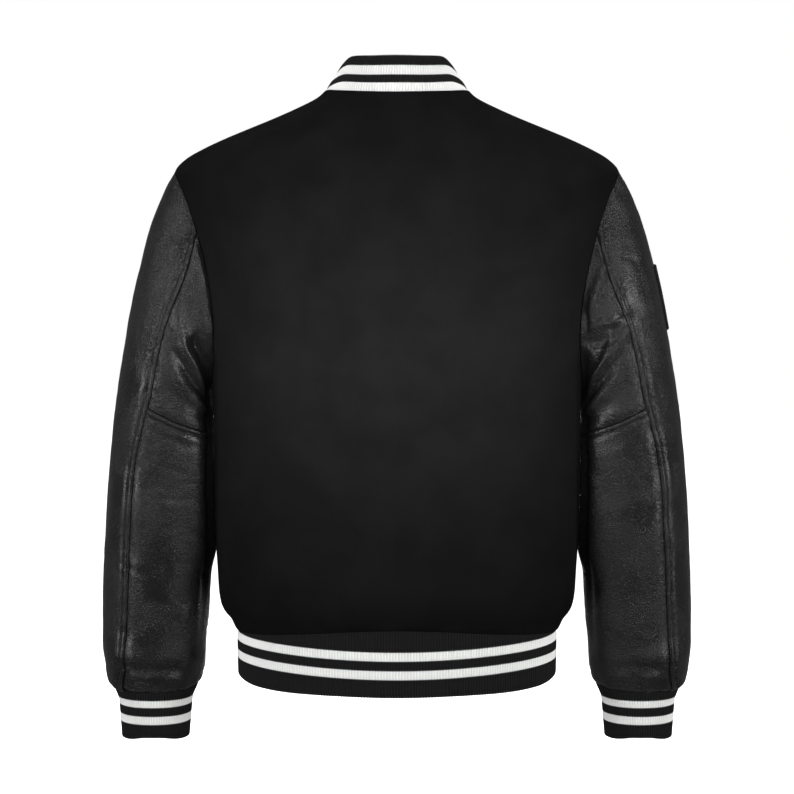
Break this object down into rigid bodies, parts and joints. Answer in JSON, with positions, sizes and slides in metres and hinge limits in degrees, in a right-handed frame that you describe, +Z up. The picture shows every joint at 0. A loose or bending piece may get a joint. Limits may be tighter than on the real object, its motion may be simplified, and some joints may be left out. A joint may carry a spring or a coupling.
{
  "type": "varsity jacket",
  "caption": "Hip-length jacket, filled out as if worn, with a wool body, leather sleeves, a snap front, and striped rib knit at the neck, cuffs and hem.",
  "frame": {"origin": "centre of the neck opening, level with the seam at the side of the neck, where the wearer's shoulders hold the jacket up", "axes": "+Z up along the wearer's spine, +Y towards the wearer's back, +X towards the wearer's left"},
  "size_m": [0.6536, 0.2708, 0.742],
  "materials": {
    "wool": "matt black wool melton",
    "leather": "black grained cow leather, low sheen",
    "rib": "black rib knit with two white stripes",
    "patch": "plain black felt",
    "snap": "black lacquer"
  },
  "bodies": {
    "root": {"back": "wool", "front_left": "wool", "front_right": "wool", "sleeve_left_top": "leather", "sleeve_left_under_upper": "leather", "sleeve_left_under_lower": "leather", "sleeve_right_top": "leather", "sleeve_right_under_upper": "leather", "sleeve_right_under_lower": "leather", "collar": "rib", "hem_rib": "rib", "cuff_left": "rib", "cuff_right": "rib", "sleeve_patch": "patch", "snap_1": "snap", "snap_2": "snap", "snap_3": "snap", "snap_4": "snap", "snap_5": "snap", "snap_6": "snap", "snap_7": "snap"}
  },
  "joints": []
}
